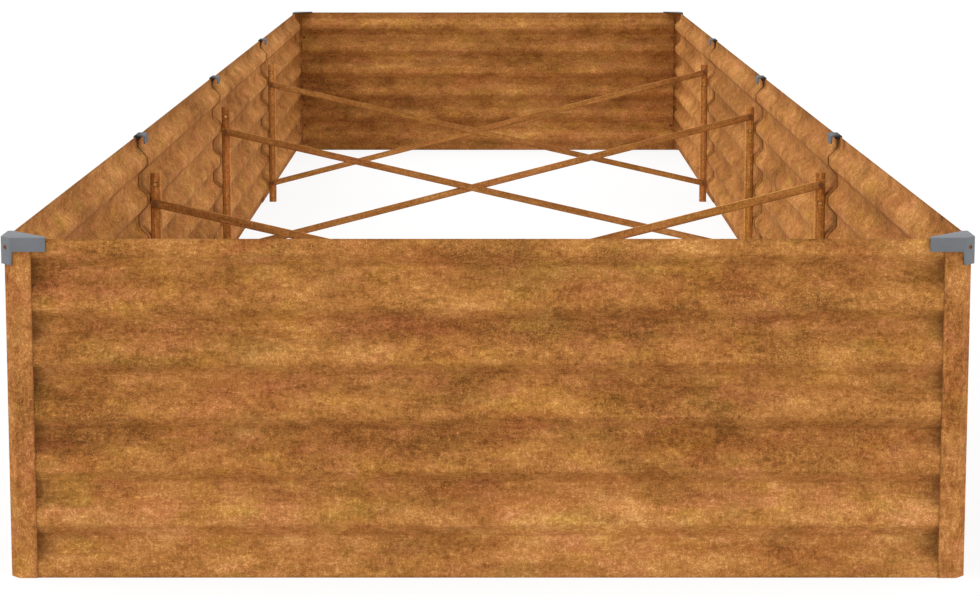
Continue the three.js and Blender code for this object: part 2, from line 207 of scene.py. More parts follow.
def strip_ring(corners, radius, thickness, steps=6):
    """Closed ring of a folded strip, up one face and down the other, and its running length."""
    points, normals, length = rounded_line(corners, radius, steps)
    up, down = points + normals * thickness / 2, points - normals * thickness / 2
    return np.concatenate([up, down[::-1]]), np.concatenate([length, length[::-1]])


def dark_line(distance, width, strength):
    """How dark a line is at a distance from its middle: strength there, 0 at its width, negative beyond,
    so that a value read between two points still falls off in the right place."""
    return strength * (1 - np.asarray(distance) / width)


pattern_step = 1.7


def sheet_marks(along, across, number, wear_and_shade, painted_shade=0.0):
    """Marks for the rust. laid is where a point lay on the flat sheet, with a number that sets each
    piece's pattern apart. The next mark is how dark the lines along its edges, bends and laps are:
    painted shade, and along the rim and foot partly a darker cut edge. The last is painted shade,
    1 where it lies in a valley."""
    along, across, wear_and_shade, painted_shade = np.broadcast_arrays(along, across, wear_and_shade, painted_shade)
    laid = np.stack([along, across, np.full(along.shape, number * pattern_step)], axis=-1)
    return {"laid": laid, "wear_and_shade": wear_and_shade, "painted_shade": painted_shade}


# %% [markdown]
# ## The camera
#
# The photograph was taken from the near end, about 0.4 m above the rim and 2.5 m away, and its upright
# lines stay upright. That comes from a level camera with a large shift. Here most of the shift is given
# up for a slight downward tilt, at the price of a few pixels at the edges.

# %% Camera
camera_shift_x = 0.0022
camera_shift_y = -0.155
camera_pitch = math.radians(6.76)
camera_place = (0.0, -4.3057, 0.7429)
camera_lens = 87.6
camera_sensor = 36
camera_data = bpy.data.cameras.new("camera")
camera_data.lens = camera_lens
camera_data.sensor_width = camera_sensor
camera_data.shift_x = camera_shift_x
camera_data.shift_y = camera_shift_y
camera = bpy.data.objects.new("camera", camera_data)
camera.location = camera_place
camera.rotation_euler = (math.radians(90) - camera_pitch, 0, 0)
bpy.context.scene.collection.objects.link(camera)
bpy.context.scene.camera = camera
bpy.context.scene.view_settings.view_transform = "Standard"
print(f"camera {-camera_place[1] - half_length:.3f} m from the front, "
      f"{camera_place[2] - rim_height:.3f} m above the rim")


# %% [markdown]
# ## Building finishes from nodes
#
# A finish is a small program: coordinates go in, noise at several sizes breaks them up, and a ramp turns
# the sum into colour. A few helpers keep that short. One turns a colour as a screen shows it into the
# linear light that shaders work in, one adds a node and fills or links its inputs, and the others are
# the nodes that are used most.

# %% Node helpers
def tint(red, green, blue):
    """Linear colour of an 8-bit screen colour: the sRGB curve, 12.92 at its foot and a power above."""
    screen = np.array([red, green, blue]) / 255
    linear = np.where(screen < 0.04045, screen / 12.92, ((screen + 0.055) / 1.055) ** 2.4)
    return (*linear.tolist(), 1.0)


def add_node(tree, kind, inputs=None, **settings):
    """A new node with its settings; each input is a value to keep or a socket to link."""
    node = tree.nodes.new(kind)
    for name, value in settings.items():
        setattr(node, name, value)
    for key, value in (inputs or {}).items():
        if isinstance(value, bpy.types.NodeSocket):
            tree.links.new(value, node.inputs[key])
        else:
            node.inputs[key].default_value = value
    return node


def noise(tree, place, scale, detail=3.0, roughness=0.6, stretch=(1, 1, 1), shift=(0, 0, 0), curl=0.0):
    """Noise from 0 to 1 with about scale lumps to a metre. stretch below 1 draws them out, and curl
    bends them."""
    spread = add_node(tree, "ShaderNodeMapping", {"Vector": place, "Scale": stretch, "Location": shift})
    inputs = {"Vector": spread.outputs[0], "Scale": scale, "Detail": detail, "Roughness": roughness,
              "Distortion": curl}
    return add_node(tree, "ShaderNodeTexNoise", inputs).outputs["Fac"]


def maths(tree, operation, first, second=0.0, third=0.0, clamp=False):
    """One sum on numbers or sockets."""
    inputs = {0: first, 1: second, 2: third}
    return add_node(tree, "ShaderNodeMath", inputs, operation=operation, use_clamp=clamp).outputs[0]


def ramp(tree, factor, stops):
    """Colour ramp through (position, colour) stops."""
    node = add_node(tree, "ShaderNodeValToRGB", {"Fac": factor})
    elements = node.color_ramp.elements
    elements[0].position, elements[0].color = stops[0]
    elements[1].position, elements[1].color = stops[-1]
    for position, colour in stops[1:-1]:
        elements.new(position).color = colour
    return node.outputs["Color"]


def blend(tree, factor, first, second, mode="MIX"):
    """Two colours mixed by a factor."""
    node = add_node(tree, "ShaderNodeMix", {0: factor, 6: first, 7: second},
                    data_type="RGBA", blend_type=mode)
    return node.outputs[2]


def between(tree, value, low, high, from_low=0.0, from_high=1.0):
    """A value carried from one range to another, smoothly and without leaving it."""
    inputs = {"Value": value, "From Min": from_low, "From Max": from_high, "To Min": low, "To Max": high}
    return add_node(tree, "ShaderNodeMapRange", inputs, interpolation_type="SMOOTHSTEP").outputs[0]


def new_material(name):
    """An empty node material and its main shader."""
    material = bpy.data.materials.new(name)
    material.use_nodes = True
    return material, material.node_tree, material.node_tree.nodes["Principled BSDF"]


# %% [markdown]
# ## Weathering steel
#
# Weathering steel rusts on purpose: a tight brown layer with soft dark patches where water stood, golden
# specks and curly threads where the rust is young, and a fine crust all over. Noise at several sizes,
# wider than high at the coarse end, gives a tone, and a ramp turns it into rust colours. A thread is the
# line where a noise passes its middle level. Wide soft patches of other hues lie over it. The pattern
# reads where a point lay on the flat sheet, so it bends with the waves.

# %% Rust finish
umber = tint(88, 54, 24)
brown = tint(139, 88, 41)
rust = tint(168, 112, 56)
orange = tint(192, 132, 72)
gold = tint(228, 174, 106)
# Other hues are multiplied on. Each has a noise of its own, given by its lumps to a metre and its shift.
reddish, olive = (0.85, 0.62, 0.7, 1), (0.62, 0.76, 0.6, 1)
golden, pink = (1.2, 1.4, 0.95, 1), (1.15, 1.0, 1.5, 1)
hues = ((reddish, 16, (7, 3, 0)), (olive, 20, (2, 8, 0)), (golden, 24, (5, 1, 0)), (pink, 28, (4, 6, 0)))
hue_strength = 0.42
# Picked among 6,400 shifts by comparing the front sheet with the photograph, so that its large patches
# lie roughly as they do there.
cloud_shift = (42, 77, 0)
tone_base = 0.44
# The rust's tone is lifted towards the ground, as painted light bounced up from the white floor.
bounce_lift, bounce_height = 0.07, 0.15
thread_weight = 0.2
# How strongly the painted shade darkens the rust, and how strongly the dark lines do, which are partly
# painted shade.
painted_shade_strength, wear_and_shade_strength = 0.45, 0.85
crust_height = 0.0006
rust_gloss = 0.08


def threads(tree, laid, scale, width, shift):
    """Thin curly lines: 1 where a noise is at its middle level, 0 where it is further off than width."""
    level = noise(tree, laid, scale, 2, 0.6, (0.75, 1, 1), shift, 0.8)
    off = maths(tree, "ABSOLUTE", maths(tree, "SUBTRACT", level, 0.5))
    return between(tree, off, 1.0, 0.0, 0.0, width)


def rust_finish(name, brightness, contrast, lengthwise, turn=0.5):
    """Rust for one family of pieces. lengthwise is how much longer than high its marks are, and turn
    below a half turns its hue towards red."""
    material, tree, shader = new_material(name)
    laid = add_node(tree, "ShaderNodeAttribute", attribute_name="laid").outputs["Vector"]
    wear_and_shade = add_node(tree, "ShaderNodeAttribute", attribute_name="wear_and_shade").outputs["Fac"]
    painted_shade = add_node(tree, "ShaderNodeAttribute", attribute_name="painted_shade").outputs["Fac"]
    place = add_node(tree, "ShaderNodeTexCoord").outputs["Object"]
    height = add_node(tree, "ShaderNodeSeparateXYZ", {0: place}).outputs["Z"]
    wide = (1 / lengthwise, 1, 1)
    cloud = noise(tree, laid, 7, 2, 0.5, wide, cloud_shift)
    patch = noise(tree, laid, 34, 3, 0.75, wide)
    curl = noise(tree, laid, 130, 3, 0.8, (0.7, 1, 1), (0, 4, 0), 1.2)
    level_thread = noise(tree, laid, 300, 2, 0.7, (0.35, 1, 1))
    upright_thread = noise(tree, laid, 300, 2, 0.7, (1, 0.35, 1), (3, 5, 0))
    grain = noise(tree, laid, 620, 2, 0.8)
    parts = ((cloud, 0.8), (patch, 1.0), (curl, 0.7), (level_thread, 0.5), (upright_thread, 0.5),
             (grain, 0.6))
    # Painted light: the tone is lifted near the ground.
    tone = maths(tree, "ADD", between(tree, height, bounce_lift, 0.0, 0.0, bounce_height), tone_base)
    for part, weight in parts:
        tone = maths(tree, "MULTIPLY_ADD", maths(tree, "SUBTRACT", part, 0.5), weight * contrast, tone)
    for line in (threads(tree, laid, 120, 0.035, (9, 2, 0)), threads(tree, laid, 210, 0.04, (6, 7, 0))):
        tone = maths(tree, "MULTIPLY_ADD", line, thread_weight * contrast, tone)
    colour = ramp(tree, tone, [(0.05, umber), (0.32, brown), (0.5, rust), (0.68, orange), (0.95, gold)])
    for hue, scale, shift in hues:
        there = between(tree, noise(tree, laid, scale, 3, 0.7, wide, shift), 0.0, hue_strength, 0.5, 0.68)
        colour = blend(tree, there, colour, hue, "MULTIPLY")
    speck = between(tree, grain, 0.0, 0.6, 0.56, 0.7)
    young = between(tree, noise(tree, laid, 24, 3, 0.6, wide, (1, 9, 0)), 0.0, 1.0, 0.46, 0.64)
    colour = blend(tree, maths(tree, "MULTIPLY", speck, young), colour, gold)
    # Painted shade in the valleys and under the crests.
    colour = blend(tree, maths(tree, "MULTIPLY", painted_shade, painted_shade_strength, clamp=True), colour, umber)
    # Dark lines along edges, bends and laps: partly darker cut edges, mostly painted shade.
    colour = blend(tree, maths(tree, "MULTIPLY", wear_and_shade, wear_and_shade_strength, clamp=True), colour, umber)
    crust = maths(tree, "MULTIPLY_ADD", grain, 0.6, maths(tree, "MULTIPLY", curl, 0.6))
    adjust = add_node(tree, "ShaderNodeHueSaturation", {"Hue": turn, "Value": brightness, "Color": colour})
    bump = add_node(tree, "ShaderNodeBump", {"Strength": 0.3, "Distance": crust_height, "Height": crust})
    tree.links.new(adjust.outputs[0], shader.inputs["Base Color"])
    tree.links.new(between(tree, tone, 0.98, 0.8, 0.2, 0.9), shader.inputs["Roughness"])
    tree.links.new(bump.outputs[0], shader.inputs["Normal"])
    shader.inputs["Specular IOR Level"].default_value = rust_gloss
    return material


sheet_rust = rust_finish("sheet rust", 1.025, 0.78, 1.9)
post_rust = rust_finish("post rust", 0.96, 0.8, 1.6, 0.497)
bar_rust = rust_finish("bar rust", 1.42, 0.8, 5.0)
print(len(sheet_rust.node_tree.nodes), "nodes in a rust finish")


# %% [markdown]
# ## Grey plastic and dark bolts
#
# The caps and clips are injection moulded in mid grey, with a fine spark-eroded texture and a satin
# shine. The bolts have a brown coating with a fine grain.

# %% Plastic and bolt finishes
def grained_finish(name, dark, light, shade_paint, grain_scale, roughness, metallic, gloss):
    """A fine-grained coat: two sizes of noise on Object coordinates vary its colour and roughness.
    A piece's dark mark, where it has one, blends in a dark colour as painted shade."""
    material, tree, shader = new_material(name)
    place = add_node(tree, "ShaderNodeTexCoord").outputs["Object"]
    wear_and_shade = add_node(tree, "ShaderNodeAttribute", attribute_name="wear_and_shade").outputs["Fac"]
    cloud = noise(tree, place, 45, 3, 0.6)
    grain = noise(tree, place, grain_scale, 2, 0.6)
    tone = maths(tree, "MULTIPLY_ADD", grain, 0.35, maths(tree, "MULTIPLY", cloud, 0.65))
    colour = ramp(tree, tone, [(0.3, dark), (0.7, light)])
    colour = blend(tree, maths(tree, "MULTIPLY", wear_and_shade, 0.9, clamp=True), colour, shade_paint)
    tree.links.new(colour, shader.inputs["Base Color"])
    tree.links.new(between(tree, tone, *roughness, 0.3, 0.7), shader.inputs["Roughness"])
    bump = add_node(tree, "ShaderNodeBump", {"Strength": 0.3, "Distance": 0.0001, "Height": grain})
    tree.links.new(bump.outputs[0], shader.inputs["Normal"])
    shader.inputs["Metallic"].default_value = metallic
    shader.inputs["Specular IOR Level"].default_value = gloss
    return material


greys = tint(98, 101, 105), tint(110, 113, 117)
# Dark colour painted as shade on the caps' straight edges and the clips' outer parts.
plastic_shade = tint(44, 36, 30)
cap_plastic = grained_finish("cap plastic", *greys, plastic_shade, 900, (0.5, 0.62), 0.0, 0.35)
clip_plastic = grained_finish("clip plastic", *greys, plastic_shade, 900, (0.7, 0.8), 0.0, 0.1)
bolt_coat = grained_finish("bolt coat", tint(98, 62, 34), tint(130, 84, 46), tint(60, 38, 22),
                           1400, (0.6, 0.75), 0.0, 0.2)
print(len(cap_plastic.node_tree.nodes), "nodes in a grained finish")


# %% [markdown]
# ## Floor, world and lamps
#
# The object stands on a plain pale ground under a white world. The camera sees the floor as nearly
# white of its own accord, with a weak diffuse part that still takes the shadow. A soft world and three
# broad lamps light the object at a plain level: colours come out about as they are written.

# %% Stage and light
floor_glow = 0.86
floor_white = 0.14
floor_bounce = 0.93
world_level = 0.7


def seen_directly(tree):
    """1 for rays that should meet the plain white background: camera, glossy and transmission rays."""
    path = add_node(tree, "ShaderNodeLightPath")
    shiny = maths(tree, "MAXIMUM", path.outputs["Is Glossy Ray"], path.outputs["Is Transmission Ray"])
    return maths(tree, "MAXIMUM", path.outputs["Is Camera Ray"], shiny)


def floor_finish():
    """White ground: a glow of its own towards the camera, plain diffuse white towards the object."""
    material, tree, shader = new_material("floor")
    tree.nodes.remove(shader)
    white = add_node(tree, "ShaderNodeBsdfDiffuse", {"Color": (floor_bounce,) * 3 + (1,)})
    faint = add_node(tree, "ShaderNodeBsdfDiffuse", {"Color": (floor_white,) * 3 + (1,)})
    glow = add_node(tree, "ShaderNodeEmission", {"Strength": floor_glow})
    seen = add_node(tree, "ShaderNodeAddShader", {0: faint.outputs[0], 1: glow.outputs[0]})
    surface = add_node(tree, "ShaderNodeMixShader",
                       {0: seen_directly(tree), 1: white.outputs[0], 2: seen.outputs[0]})
    tree.links.new(surface.outputs[0], tree.nodes["Material Output"].inputs["Surface"])
    return material


floor_reach = 40.0
floor_level = -0.0003
floor_mesh = bpy.data.meshes.new("floor")
floor_corners = np.array([[-1, -1], [1, -1], [1, 1], [-1, 1]]) * floor_reach
floor_points = np.column_stack([floor_corners, np.full(4, floor_level)])
floor_mesh.from_pydata(floor_points.tolist(), [], [[0, 1, 2, 3]])
floor_mesh.materials.append(floor_finish())
floor = bpy.data.objects.new("floor", floor_mesh)
bpy.context.scene.collection.objects.link(floor)
floor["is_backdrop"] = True

world = bpy.data.worlds.new("studio")
bpy.context.scene.world = world
world.use_nodes = True
sky = world.node_tree
background = sky.nodes["Background"]
background.inputs["Color"].default_value = (1, 1, 1, 1)
level = maths(sky, "MULTIPLY_ADD", seen_directly(sky), 1 - world_level, world_level)
sky.links.new(level, background.inputs["Strength"])


def soft_sun(name, strength, azimuth, elevation, spread):
    """A distant lamp seen under a wide angle; azimuth 0 shines from the front, 90 from the right."""
    data = bpy.data.lights.new(name, "SUN")
    data.energy = strength
    data.angle = math.radians(spread)
    lamp = bpy.data.objects.new(name, data)
    lamp.rotation_euler = (math.radians(90 - elevation), 0, math.radians(azimuth))
    bpy.context.scene.collection.objects.link(lamp)


lamp_spread = 70
soft_sun("left lamp", 1.8, -90, 45, lamp_spread)
soft_sun("right lamp", 1.0, 90, 45, lamp_spread)
soft_sun("front lamp", 0.29, 0, 6, lamp_spread)
print("world", world_level, "and", len(bpy.data.lights), "lamps")


# %% [markdown]
# ## Corrugated sheets
#
# The walls are roll-formed: six rounded waves lie level, and each edge ends in a short upright lip in
# the plane of the outward crests. A height field can't turn back on itself and a plain wave has no
# flats, so the section is a line of corners with rounded bends. It is carried straight along the wall.
# A lapped sheet leans in behind its neighbour by one lap offset, so the two nest without touching.

# %% Wave section
sheet_thickness = 0.0008
wave_count = 6
lip_height = 0.0075
crest_flat = 0.017
flank_run = 0.0145
sheet_bend_radius = 0.006
wave_pitch = (rim_height - 2 * lip_height) / wave_count
wave_depth = sheet_depth - sheet_thickness


def wave_corners():
    """Corners of the sheet's middle line as (depth, height), with depth 0 on the outer face.

    For wave k the line leaves the outward crest at its top, reaches the inward crest one flank higher,
    leaves that one flank below the next outward crest, and returns to it.
    """
    outward = -sheet_thickness / 2
    inward = outward - wave_depth
    crest_top = lip_height + np.arange(wave_count) * wave_pitch + crest_flat / 2
    next_foot = crest_top + wave_pitch - crest_flat
    heights = np.stack([crest_top, crest_top + flank_run, next_foot - flank_run, next_foot], axis=1)
    depths = np.tile([outward, inward, inward, outward], wave_count)
    waves = np.column_stack([depths, heights.ravel()])
    return np.concatenate([[[outward, 0]], waves, [[outward, rim_height]]])


wave_ring, wave_length = strip_ring(wave_corners(), sheet_bend_radius, sheet_thickness)
outward_face = np.arange(len(wave_ring)) >= len(wave_ring) // 2
depth_share = -wave_ring[:, 0] / sheet_depth
valley = np.where(outward_face, depth_share, 1 - depth_share)
middle_line, _, middle_length = rounded_line(wave_corners(), sheet_bend_radius)
lean = np.gradient(middle_line[:, 0], middle_length)
overhang = np.clip(np.concatenate([-lean, lean[::-1]]) / lean.max(), 0, 1)
print(f"flat sheet {wave_length.max():.4f} m high is formed into {rim_height:.4f} m")


# %% Lay the sheets
# Dark lines along the rim and the foot are partly darker cut edges and partly painted shade, strongest on
# the back wall's rim; those at the laps' mouths are painted shade in the gap.
rim_line, foot_line, lap_line = 0.003, 0.003, 0.008
flange_shade_reach = 0.022
rim_strength = {"front": 0.3, "back": 0.95, "right": 0.4, "left": 0.4}
foot_strength, lap_strength = 0.35, 0.15
# How much painted shade lies on a sheet: outside, in the valleys behind a post's flange and under each
# crest; inside, in the valleys and under each crest.
outer_flange_shade, outer_shade = 0.8, 0.3
inner_valley_shade, inner_shade = 0.2, 0.15


def near(places, marks, reach):
    """Places with a few more added within reach of each mark."""
    added = np.add.outer(marks, reach * np.array([-1, -0.5, 0, 0.5, 1])).ravel()
    return np.unique(np.clip(np.concatenate([places, added]), places[0], places[-1]))


def wall_sheet(name, node, low, high, sign, face, drawn, mouths, flanges, turned, number):
    """One sheet between two places along its wall, as rings of (depth, along, height).

    depth = wave depth - drawn * (high - along) / (high - low), so it leans in by drawn at its low end
    and by nothing at its high end. Dark lines run along the rim and the foot, partly darker cut edges and
    partly painted shade, and along the mouths of its laps as painted shade in the gap. Painted shade lies
    under the crests, in the inner valleys, and in the outer ones where they run in behind the post
    flanges.
    """
    along = near(near(np.array([low, high]), mouths, lap_line), flanges, flange_shade_reach)[:, None]
    depth = wave_ring[None, :, 0] - drawn * (high - along) / (high - low)
    height = wave_ring[None, :, 1] + 0 * along
    wall = name.split("_")[1]
    wear_and_shade = np.maximum(dark_line(wave_length.max() - wave_length, rim_line, rim_strength[wall]),
                      dark_line(wave_length, foot_line, foot_strength))
    off_mouth = np.abs(np.subtract.outer(along[:, 0], mouths)).min(axis=1, initial=1.0)
    off_flange = np.abs(np.subtract.outer(along[:, 0], flanges)).min(axis=1, initial=1.0)
    wear_and_shade = np.maximum(wear_and_shade[None, :], dark_line(off_mouth, lap_line, lap_strength)[:, None])
    behind = np.clip(1 - off_flange / flange_shade_reach, 0, 1)[:, None]
    # Painted shade: outside, in the valleys behind the flanges and under the crests; inside, in the valleys
    # and under the crests.
    painted_shade = np.where(outward_face, outer_flange_shade * valley * behind + outer_shade * overhang,
                    inner_valley_shade * valley + inner_shade * overhang)
    x, y = sign * (face + depth), along + 0 * depth
    rings = np.stack([y, x, height] if turned else [x, y, height], axis=-1)
    make_piece(name, shell(rings, folded=True), sheet_rust, [node],
               sheet_marks(along, wave_length, number, wear_and_shade, painted_shade))


post_inside = extent("corner_post_back_right")[0]
for number, (wall, sign) in enumerate((("front", -1), ("back", 1))):
    low, high = extent(f"sheet_{wall}")
    wall_sheet(f"wall_{wall}", f"sheet_{wall}", low[0], high[0], sign, end_face, 0, [],
               [-post_inside[0], post_inside[0]], True, 1 + number)
for number, (wall, sign) in enumerate(sides.items()):
    ends = [extent(f"sheet_{wall}_{index}") for index in range(1, 5)]
    for index, (low, high) in enumerate(ends):
        mouths = [end[0][1] for end in ends[max(index, 1):index + 2]]
        wall_sheet(f"wall_{wall}_{index + 1}", f"sheet_{wall}_{index + 1}", low[1], high[1], sign,
                   side_face, lap_offset if index else 0, mouths,
                   [-post_inside[1], post_inside[1]], False, 3 + 4 * number + index)
print(face_total, "faces in the sheets")


# %% [markdown]
# ## Corner posts
#
# A post is a strip folded twice into a chamfered angle. It stands outside the sheets and hides their
# ends. The section is drawn once in a corner frame, outer corner at the origin and flanges along minus
# x and minus y, and the four posts differ only in the signs of that frame.

# %% Posts
post_sheet = 0.001
post_chamfer = 0.0095
post_bend_radius = 0.002
post_low, post_high = extent("corner_post_back_right")
post_flange = post_high[0] - post_low[0]
post_edge_line, post_edge_strength = 0.0016, 0.5
corner_signs = {"back_right": (1, 1), "back_left": (-1, 1), "front_left": (-1, -1), "front_right": (1, -1)}


def in_corner(x, y, z, signs):
    """Points of a corner frame carried to one of the bed's corners."""
    x, y, z = np.broadcast_arrays(x, y, z)
    return np.stack([signs[0] * (half_width + x), signs[1] * (half_length + y), z], axis=-1)


middle = -post_sheet / 2
chamfer_end = -(post_chamfer + post_sheet * (math.sqrt(2) - 1) / 2)
post_corners = [(-post_flange, middle), (chamfer_end, middle),
                (middle, chamfer_end), (middle, -post_flange)]
post_ring, post_length = strip_ring(post_corners, post_bend_radius, post_sheet)
post_heights = np.array([0, rim_height])[:, None]
# Painted shade: dark lines along both flange edges, where the flanges lie over the sheets.
off_edge = np.minimum(post_length, post_length.max() - post_length)
post_edge_shade = dark_line(off_edge, post_edge_line, post_edge_strength)
# The front posts' numbers were picked among five tries, by comparing mean colours with the photograph.
post_patterns = {"back_right": 20, "back_left": 21, "front_left": 122, "front_right": 23}
for corner, signs in corner_signs.items():
    rings = in_corner(post_ring[None, :, 0], post_ring[None, :, 1], post_heights, signs)
    make_piece(f"post_{corner}", shell(rings, folded=True), post_rust,
               [f"corner_post_{corner}"],
               sheet_marks(post_heights, post_length, post_patterns[corner], post_edge_shade))
print(f"{len(corner_signs)} posts with {post_flange:.4f} m flanges, {face_total} faces so far")


# %% [markdown]
# ## Bracing bars
#
# Two slim channels cross between facing stakes so that the soil can't push the long walls out. Their
# webs face the front, and each springs aside a little where they pass. The section is carried across
# the bed: its height follows the slope, and a bow that is flat at both ends moves it sideways.

# %% Bars
bar_width = 0.012
bar_depth = 0.004
bar_sheet = 0.0012
bar_bend_radius = 0.0018
bar_stations = 41
bolt_gap = 0.0003


def bar_rings(node):
    """Rings of a bar: height = middle + slope * x, bow = spring * (1 - (x / end)^2)^2."""
    rising = "rising" in node
    seam = node[-1]
    low, high = extent(node)
    left_bolt = extent(f"bar_bolt_left_{'low' if rising else 'high'}_{seam}")
    right_bolt = extent(f"bar_bolt_right_{'high' if rising else 'low'}_{seam}")
    left_place = (left_bolt[0] + left_bolt[1]) / 2
    right_place = (right_bolt[0] + right_bolt[1]) / 2
    slope = (right_place[2] - left_place[2]) / (right_place[0] - left_place[0])
    middle_height = left_place[2] - slope * left_place[0]
    stake_front = extent(f"stake_right_{seam}")[0][1]
    back = stake_front - bolt_gap
    front = back - bar_depth
    spring = (1 if rising else -1) * (bar_depth / 2 + bolt_gap)
    side = bar_width / 2 - bar_sheet / 2
    web = front + bar_sheet / 2
    ring, length = strip_ring([(side, back), (side, web), (-side, web), (-side, back)],
                              bar_bend_radius, bar_sheet)
    end = high[0]
    x = np.linspace(-end, end, bar_stations)[:, None]
    upright = math.sqrt(1 + slope ** 2)
    z = ring[None, :, 0] * upright + middle_height + slope * x
    y = ring[None, :, 1] + spring * (1 - (x / end) ** 2) ** 2
    return np.stack([x + 0 * z, y, z], axis=-1), length, x


# Painted shade along the bends of the bars and stakes, drawn as dark lines.
arris_line = 0.0024
bar_arris_strength, stake_arris_strength = 0.9, 0.6


def bend_shade(length):
    """Painted shade: dark lines along the two bends of a bar."""
    middle = length.max() / 2
    off_bend = np.abs(np.abs(length - middle) - (bar_width - bar_sheet) / 2 + bar_bend_radius / 4)
    return dark_line(off_bend, arris_line, bar_arris_strength)


for seam in seams:
    for slant, start in (("rising", 30), ("falling", 40)):
        rings, length, x = bar_rings(f"bar_{slant}_{seam}")
        make_piece(f"brace_{slant}_{seam}", shell(rings, folded=True), bar_rust,
                   [f"bar_{slant}_{seam}"], sheet_marks(x, length, start + seam, bend_shade(length)))
print(2 * len(seams), "bars,", face_total, "faces so far")


# %% [markdown]
# ## Stakes
#
# At each seam a slim channel stands against the waves, its web to the front. The web has a punched hole
# at each height where a bar may be bolted, and on every stake one of them stays open. A Boolean would
# cut the holes, but the ring grid can make them itself: where a hole goes, a block of four by four quads
# is left out of both faces, a collar runs from the block's sixteen border points to sixteen points on
# the circle, and a short wall joins the two circles through the thickness.

# %% Stakes
stake_sheet = 0.0015
stake_bend_radius = 0.0022
hole_radius = 0.00285
hole_heights = {"rising": extent("bar_bolt_right_high_1"), "falling": extent("bar_bolt_left_high_1"),
                "foot": extent("bar_bolt_right_low_1")}
hole_heights = sorted(float(low[2] + high[2]) / 2 for low, high in hole_heights.values())
block_steps = np.linspace(-1, 1, 5)
border_columns = np.array([0, 1, 2, 3, 4, 4, 4, 4, 4, 3, 2, 1, 0, 0, 0, 0])
border_rows = np.roll(border_columns, 4)


def pierced(skin, stations, corners, columns, rows):
    """The skin of a tube with round holes. columns holds the first column of the block on either face.

    Circle point k stands at 225 + 22.5 k degrees about the block's middle point, along the block's own
    column and row directions. Across the thickness it meets point 4 - k, because the other face runs the
    other way.
    """
    vertices, faces = skin
    index = np.arange(stations * corners).reshape(stations, corners)
    angle = math.radians(225) + np.arange(16) * math.pi / 8
    turn = np.arange(16)
    left_out, added, points = set(), [], [vertices]
    count = len(vertices)
    for row in rows:
        circles = []
        for column in columns:
            block = index[row:row + 5, column:column + 5]
            left_out.update(map(tuple, np.stack([block[:-1, :-1], block[:-1, 1:], block[1:, 1:],
                                                 block[1:, :-1]], axis=-1).reshape(-1, 4).tolist()))
            middle = vertices[block[2, 2]]
            across, along = vertices[block[2, 4]] - middle, vertices[block[4, 2]] - middle
            across, along = across / np.linalg.norm(across), along / np.linalg.norm(along)
            circle = middle + hole_radius * (np.cos(angle)[:, None] * across
                                             + np.sin(angle)[:, None] * along)
            border = block[border_rows, border_columns]
            ring = count + turn
            added += np.stack([border, np.roll(border, -1), np.roll(ring, -1), ring], axis=-1).tolist()
            points.append(circle)
            circles.append(ring)
            count += 16
        front, back = circles[0], circles[1][(4 - turn) % 16]
        added += np.stack([front, np.roll(front, -1), np.roll(back, -1), back], axis=-1).tolist()
    vertices = np.concatenate(points)
    faces = [face for face in faces if tuple(face) not in left_out] + added
    used = np.unique(np.concatenate([np.array(face) for face in faces]))
    place = np.zeros(len(vertices), int)
    place[used] = np.arange(len(used))
    return vertices[used], [place[face].tolist() for face in faces]


def stake_section(width, depth):
    """Ring of the channel as (x, y) from its middle, with three more points across the web."""
    half, side = depth / 2, width / 2 - stake_sheet / 2
    web = -half + stake_sheet / 2
    line, normals, _ = rounded_line([(side, half), (side, web), (-side, web), (-side, half)],
                                    stake_bend_radius, 4)
    first = len(line) // 2 - 1
    share = np.linspace(0, 1, 5)[1:-1, None]
    between_bends = line[first] + share * (line[first + 1] - line[first])
    line = np.insert(line, first + 1, between_bends, axis=0)
    normals = np.insert(normals, first + 1, np.repeat(normals[first][None], 3, axis=0), axis=0)
    up, down = line + normals * stake_sheet / 2, line - normals * stake_sheet / 2
    return np.concatenate([up, down[::-1]]), first, line[first, 0]


web_line_inset = 0.0022
web_line_width = 0.0014
web_line_strength = 0.6
# Picked among five tries, by comparing the near stakes' mean colours with the photograph.
stake_pattern = 150
hole_points = 2 * 16 * len(hole_heights)
for wall, sign in sides.items():
    for seam in seams:
        low, high = extent(f"stake_{wall}_{seam}")
        middle = (low + high) / 2
        section, first, web_half = stake_section(high[0] - low[0], high[1] - low[1])
        heights = np.concatenate([[low[2]]] + [h + block_steps * web_half for h in hole_heights]
                                 + [[high[2]]])
        flat = 0 * heights[:, None]
        rings = np.stack([middle[0] + sign * section[None, :, 0] + flat,
                          middle[1] + section[None, :, 1] + flat, heights[:, None] + 0 * section[:, 0]], -1)
        corners = len(section)
        skin = pierced(shell(rings, folded=True), len(heights), corners,
                       (first, corners - 1 - (first + 4)), (1, 6, 11))
        x, y, z = skin[0].T
        inward = sign * (middle[0] - x)
        off_arris = np.abs(np.abs(inward) - web_half - stake_bend_radius / 2)
        # Painted shade along both bends of the stake, and a dark line down the web a little off its middle.
        wear_and_shade = np.maximum(dark_line(off_arris, arris_line, stake_arris_strength),
                          dark_line(np.abs(inward + web_line_inset), web_line_width, web_line_strength))
        # The holes' walls are painted fully dark, as painted shade inside the holes.
        wear_and_shade[-hole_points:] = 1
        make_piece(f"upright_{wall}_{seam}", skin, bar_rust, [f"stake_{wall}_{seam}"],
                   sheet_marks(z, x + y, stake_pattern + seam + 5 * sign, wear_and_shade))
print(2 * len(seams), "stakes with holes at", [round(h, 4) for h in hole_heights])


# %% [markdown]
# ## Corner caps
#
# A cap is one moulding: a three-cornered plate over the sheet edges, and a skirt down both outer faces
# that runs deeper round the chamfer. Seen as a surface it has one parameter along the outside, from leg
# tip to leg tip round the corner, and one round its section: down the outside, up the inside of the
# skirt, along the underside of the plate to its long straight edge, and back over the top.

